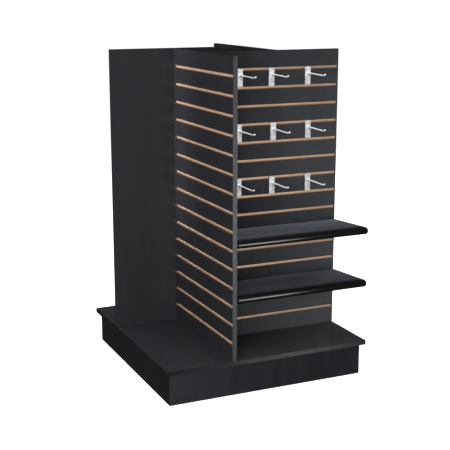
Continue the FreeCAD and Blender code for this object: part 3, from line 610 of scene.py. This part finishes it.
def shelf_top():
    """The shelf's matt top: brushed along its length, with painted shade along its front beside the
    nose and painted light towards the back.
    """
    look = Look("shelf_top")
    # The top's grey is partly the matt grain's own look and partly painted sheen from above, far
    # lighter than the black of the same moulding's nose.
    colour = (0.056, 0.061, 0.075)
    streaks = look.noise(70, detail=4, stretch=(0.05, 1, 1), rough=0.6)
    patches = look.noise(7, detail=3, stretch=(0.4, 1, 1))
    brushed = look.ramp(streaks, [(0.3, scaled(colour, 0.5)), (0.5, colour),
                                  (0.7, scaled(colour, 1.7))])
    parts = look.node("ShaderNodeSeparateXYZ")
    look.link(look.place, parts.inputs["Vector"])
    depth = look.spread(parts.outputs["Y"], 0.0, 1.0, SHELF_TOP_FRONT, SHELF_TOP_BACK)
    # Painted shade and light: near black along the front beside the nose, lighter towards the back.
    shade_and_light_stops = ((0.0, 0.12), (0.06, 0.3), (0.14, 0.85), (0.6, 1.05), (1.0, 1.9))
    painted_shade_and_light = look.ramp(depth, [(position, (grey, grey, grey)) for position, grey in shade_and_light_stops])
    brushed_and_painted_light = look.mix(1.0, brushed, painted_shade_and_light, "MULTIPLY")
    tone = look.mix(1.0, brushed_and_painted_light, look.shades(patches, (1, 1, 1), 0.85, 1.15), "MULTIPLY")
    look.bump(streaks, 0.04 * MM, 0.5)
    return look.finish(tone, look.spread(streaks, 0.42, 0.58), Specular_IOR_Level=0.4)


def make_looks():
    """Every material of the object by its slot in the record, and the few that share a slot."""
    return {
        "mdf_core": fibreboard(),
        "black_laminate": black_laminate("black_laminate", (0.0184, 0.0186, 0.0216), 0.36,
                                         grain=(1, 1, 0.04), pebble=0.02 * MM),
        "deck_laminate": black_laminate("deck_laminate", (0.027, 0.0268, 0.0315), 0.24,
                                        grain=(1, 0.05, 1), pebble=0),
        "edge_band": edge_band("edge_band_grey", (0.020, 0.021, 0.023)),
        "edge_band_black": edge_band("edge_band_black", (0.010, 0.010, 0.0115)),
        "plinth_board": plinth_board(),
        "softwood": softwood(),
        "zinc_hardware": zinc(),
        "cap_plastic": moulded("cap_plastic", (0.03, 0.03, 0.03), 0.45, 0.02 * MM),
        "foot_plastic": moulded("foot_plastic", (0.035, 0.035, 0.035), 0.5, 0.03 * MM),
        # Near-white and barely metallic: the hooks' tone is partly painted reflection of a bright
        # surround.
        "hook_chrome": plated_steel("hook_wire", (0.88, 0.89, 0.90), (0.95, 0.96, 0.97),
                                    haze_scale=120, metallic=0.1),
        "hook_plate": plated_steel("hook_plate", (0.34, 0.345, 0.35), (0.66, 0.67, 0.68),
                                   haze_scale=85, metallic=0.25),
        "shelf_plastic": moulded("shelf_nose", (0.0032, 0.0032, 0.0036), 0.22, 0.004 * MM),
        "shelf_top": shelf_top(),
    }


FACES_UP = 0.9                      # upward share of a normal, from which an edge band is a top one


def dress(looks):
    """Gives every CAD node its material. Edge bands are grey on the panels' upright ends and black
    on the deck; along the panels' tops the black is painted shade on the same grey band."""
    for subpart in frame["record"]["subparts"]:
        name, look = subpart["node"], subpart["material_slot"]
        if name == "deck_top_laminate":
            look = "deck_laminate"
        mesh = nodes[name].data
        mesh.materials.clear()
        mesh.materials.append(looks[look])
        # Painted shade: the upward faces of the panels' grey edge bands take the black band; the
        # deck's bands are black all over.
        if look == "edge_band":
            mesh.materials.append(looks["edge_band_black"])
            for face in mesh.polygons:
                face.material_index = int(name.startswith("deck") or face.normal.z > FACES_UP)


PLINTH_EDGE = 0.35 * MM
EDGE_ANGLE = 40                     # an edge that turns by more than this is rounded
WELD_DISTANCE = 0.001 * MM


def soften(names, width):
    """Slightly rounded edges on boards."""
    for name in names:
        weld = nodes[name].modifiers.new("weld", "WELD")
        weld.merge_threshold = WELD_DISTANCE
        bevel = nodes[name].modifiers.new("edges", "BEVEL")
        bevel.width = width
        bevel.segments = 2
        bevel.limit_method = "ANGLE"
        bevel.angle_limit = math.radians(EDGE_ANGLE)
        bevel.harden_normals = True


# ---------------------------------------------------------------- camera, floor and surround

CAMERA_AT = Vector((-1.7997, -3.9625, 1.6092))
CAMERA_YAW, CAMERA_PITCH, CAMERA_ROLL = 24.460, 12.974, 0.013
CAMERA_LENS_MM, CAMERA_SENSOR_MM = 81.175, 36.0
CAMERA_NEAR, CAMERA_FAR = 0.05, 60.0

FLOOR_HALF = 30.0
FLOOR_DROP = 0.5 * MM               # below the stand, so that the two don't share a plane
FLOOR_GLOW = 0.85

WHITE = (1, 1, 1)
PALE_BLUE = (0.95, 0.97, 1.0)
PALE_GREEN = (0.95, 1.0, 0.95)


def add_camera():
    """The camera stands to the front left, above the top, and looks slightly down."""
    angles = (CAMERA_YAW, CAMERA_PITCH, CAMERA_ROLL)
    yaw, pitch, roll = (math.radians(angle) for angle in angles)
    data = bpy.data.cameras.new("camera")
    data.lens = CAMERA_LENS_MM
    data.sensor_width = CAMERA_SENSOR_MM
    data.clip_start, data.clip_end = CAMERA_NEAR, CAMERA_FAR
    forward = Vector((math.sin(yaw) * math.cos(pitch), math.cos(yaw) * math.cos(pitch),
                      -math.sin(pitch)))
    level = Vector((math.cos(yaw), -math.sin(yaw), 0.0))
    upward = level.cross(forward)
    right = level * math.cos(roll) + upward * math.sin(roll)
    up = upward * math.cos(roll) - level * math.sin(roll)
    turn = Matrix((right, up, -forward)).transposed().to_4x4()
    camera = new_object("camera", data)
    camera.matrix_world = Matrix.Translation(CAMERA_AT) @ turn
    scene.camera = camera


def add_floor():
    """A plain floor that glows white, so that shadows hardly show on it. It adds nothing to the
    object's gloss or light."""
    bm = bmesh.new()
    bmesh.ops.create_grid(bm, x_segments=8, y_segments=8, size=FLOOR_HALF)
    floor = new_object("floor", mesh_from(bm, "floor"))
    floor.location.z = -FLOOR_DROP
    look = Look("floor")
    look.finish(look.shades(look.noise(0.4, detail=1), WHITE, 0.93, 0.96), Roughness=0.9,
                Emission_Color=(*WHITE, 1), Emission_Strength=FLOOR_GLOW)
    floor.data.materials.append(look.material)
    floor.visible_glossy = False
    floor.visible_diffuse = False


def add_world():
    """White to the camera. What it lights is palest near the horizon, and what shows in gloss is
    dim."""
    world = bpy.data.worlds.new("studio")
    world.use_nodes = True
    scene.world = world
    tree = world.node_tree
    tree.nodes.clear()

    direction = tree.nodes.new("ShaderNodeTexCoord").outputs["Generated"]
    parts = tree.nodes.new("ShaderNodeSeparateXYZ")
    tree.links.new(direction, parts.inputs["Vector"])
    height = tree.nodes.new("ShaderNodeMath")
    height.operation = "ABSOLUTE"
    tree.links.new(parts.outputs["Z"], height.inputs[0])

    def surround(horizon, pole, reach, colour=WHITE):
        """Light of one strength at the horizon and another from a height of reach upwards."""
        glow = tree.nodes.new("ShaderNodeMapRange")
        glow.interpolation_type = "SMOOTHSTEP"
        for field, value in (("From Min", 0.0), ("From Max", reach),
                             ("To Min", horizon), ("To Max", pole)):
            glow.inputs[field].default_value = value
        tree.links.new(height.outputs[0], glow.inputs["Value"])
        made = tree.nodes.new("ShaderNodeBackground")
        made.inputs["Color"].default_value = (*colour, 1)
        tree.links.new(glow.outputs["Result"], made.inputs["Strength"])
        return made.outputs["Background"]

    def mixed(factor, first, second):
        made = tree.nodes.new("ShaderNodeMixShader")
        tree.links.new(factor, made.inputs["Fac"])
        tree.links.new(first, made.inputs[1])
        tree.links.new(second, made.inputs[2])
        return made.outputs["Shader"]

    path = tree.nodes.new("ShaderNodeLightPath")
    lit = surround(horizon=0.44, pole=0.21, reach=0.8, colour=PALE_BLUE)
    gloss = surround(horizon=0.06, pole=0.035, reach=0.45)
    backdrop = surround(horizon=1.05, pole=1.05, reach=1.0)
    unseen = mixed(path.outputs["Is Glossy Ray"], lit, gloss)
    everything = mixed(path.outputs["Is Camera Ray"], unseen, backdrop)
    out = tree.nodes.new("ShaderNodeOutputWorld")
    tree.links.new(everything, out.inputs["Surface"])


# ---------------------------------------------------------------- lights

MIDDLE = (0.0, -0.1, 0.75)

# Each row is a name, the group of pieces that is lit, the light's place, what it points at, its
# size and its power in watts. Soft lights don't show in gloss, and cards show only in gloss.
SOFT_LIGHTS = (
    ("key", "boards", (-3.0, -4.1, 1.4), MIDDLE, (2.6, 2.0), 280),
    ("top", None, (0.0, -0.9, 4.4), (0.0, -0.2, 0.5), (2.4, 2.4), 88),
    ("back_right", None, (4.2, 2.4, 2.2), MIDDLE, (2.4, 2.4), 110),
    ("back_left", None, (-2.6, 4.2, 2.2), MIDDLE, (2.4, 2.4), 110),
    ("shelf_fill", "shelves", (-1.5, -4.4, 2.3), (0.1, -0.3, 0.5), (1.6, 1.6), 160),
    ("deck_fill_left", "deck_top", (-3.2, -1.6, 1.6), (-0.3, 0.0, 0.15), (1.2, 1.2), 22),
    ("deck_fill_right", "deck_top", (2.4, -0.9, 1.5), (0.4, -0.3, 0.15), (1.0, 1.0), 20),
    ("hook_fill", "hooks", (-0.6, -3.4, 2.2), (0.1, -0.3, 1.0), (1.0, 1.6), 170),
    ("corner_fill", "inner_slats", (-0.36, 0.125, 1.12), (-0.17, 0.125, 1.12), (0.05, 1.05),
     1.75),
    ("slot_fill", "inner_core", (-0.70, -0.05, 0.45), (-0.17, -0.05, 0.45), (0.1, 0.6), 2.0),
    ("recess_fill", "plain_face", (-0.28, -0.60, 0.90), (-0.20, 0.15, 0.90), (0.1, 1.0), 0.9),
    ("groove_fill", "outer_core", (-0.05, -1.6, 0.8), (0.05, -0.17, 0.8), (0.2, 1.0), 20),
    ("low_fill", "outer_slats", (0.40, -1.0, 0.30), (0.2, -0.17, 0.35), (0.8, 0.3), 5.2),
    ("right_fill", "outer_slats", (0.80, -0.60, 0.72), (0.44, -0.17, 0.72), (0.2, 1.25), 6.8),
    ("upright_fill", "upright_band", (-0.1, -1.8, 0.8), (-0.16, -0.46, 0.75), (0.4, 0.9), 30),
    ("plinth_fill", "plinth", (0.1, -4.6, 0.8), (0.0, -0.4, 0.1), (1.6, 1.2), 110),
    ("plinth_glow", "plinth", (-0.38, -0.85, 0.10), (-0.38, -0.43, 0.07), (0.2, 0.2), 1.5),
)
CARDS = (
    ("nose_card", "shelves", (0.36, -1.65, 0.26), (-0.2, -0.46, 0.78), (0.6, 0.8), 11.5),
    ("band_card", "deck_band", (0.39, -1.05, 0.01), (0.20, -0.60, 0.3), (0.5, 0.5), 3.6),
    ("upright_card", "upright_band", (0.40, -1.7, 0.43), (-0.16, -0.457, 0.75), (0.4, 0.3), 8.5),
)


def area_light(name, place, target, size, power, colour=WHITE):
    """A rectangular light that the camera doesn't see."""
    data = bpy.data.lights.new(name, "AREA")
    data.shape = "RECTANGLE"
    data.size, data.size_y = size
    data.energy = power
    data.color = colour
    light = new_object(name, data)
    light.location = place
    aim = Vector(target) - Vector(place)
    light.rotation_euler = aim.to_track_quat("-Z", "Y").to_euler()
    light.visible_camera = False
    return light


def receivers(name, pieces):
    """A group of pieces that a light is meant for."""
    group = bpy.data.collections.new(name)
    for piece in pieces:
        group.objects.link(piece)
    return group


def add_lights(shelves, hooks):
    """Large soft lights beside the camera, overhead and behind, fills for single groups of
    pieces, and low cards in front that draw only the sheen."""
    pieces = [item for item in scene.objects if item.type == "MESH"]

    def starting(start):
        return [item for item in pieces if item.name.startswith(start)]

    grooved_core = nodes["right_panel_core"]
    groups = {
        "boards": [item for item in pieces if item not in hooks and item is not grooved_core],
        "hooks": hooks,
        "shelves": shelves,
        "deck_top": [nodes["deck_top_laminate"]],
        "inner_slats": starting("front_panel_"),
        "inner_core": [nodes["front_panel_core"]],
        "outer_slats": [nodes["right_panel_face_strips"]],
        "outer_core": [grooved_core],
        "plain_face": starting("left_panel_"),
        "plinth": starting("plinth"),
        "deck_band": [nodes["deck_edge_bands"]],
        "upright_band": [nodes["front_panel_edge_bands"]],
    }
    linked = {name: receivers(name, group) for name, group in groups.items()}
    for name, group, place, target, size, power in SOFT_LIGHTS:
        colour = PALE_GREEN if group == "outer_slats" else WHITE
        light = area_light(name, place, target, size, power, colour)
        light.visible_glossy = False
        if group:
            light.light_linking.receiver_collection = linked[group]
    for name, group, place, target, size, power in CARDS:
        card = area_light(name, place, target, size, power)
        card.visible_diffuse = False
        card.light_linking.receiver_collection = linked[group]


# ---------------------------------------------------------------- the scene

scene.view_settings.view_transform = "Standard"
looks = make_looks()
dress(looks)
hooks = add_hooks(looks["hook_plate"], looks["hook_chrome"])
shelves = [add_shelf(name, (looks["shelf_top"], looks["shelf_plastic"]))
           for name in ("upper_shelf", "lower_shelf")]
soften([f"plinth_{side}" for side in ("left", "right", "front", "back")], PLINTH_EDGE)
add_camera()
add_floor()
add_world()
add_lights(shelves, hooks)
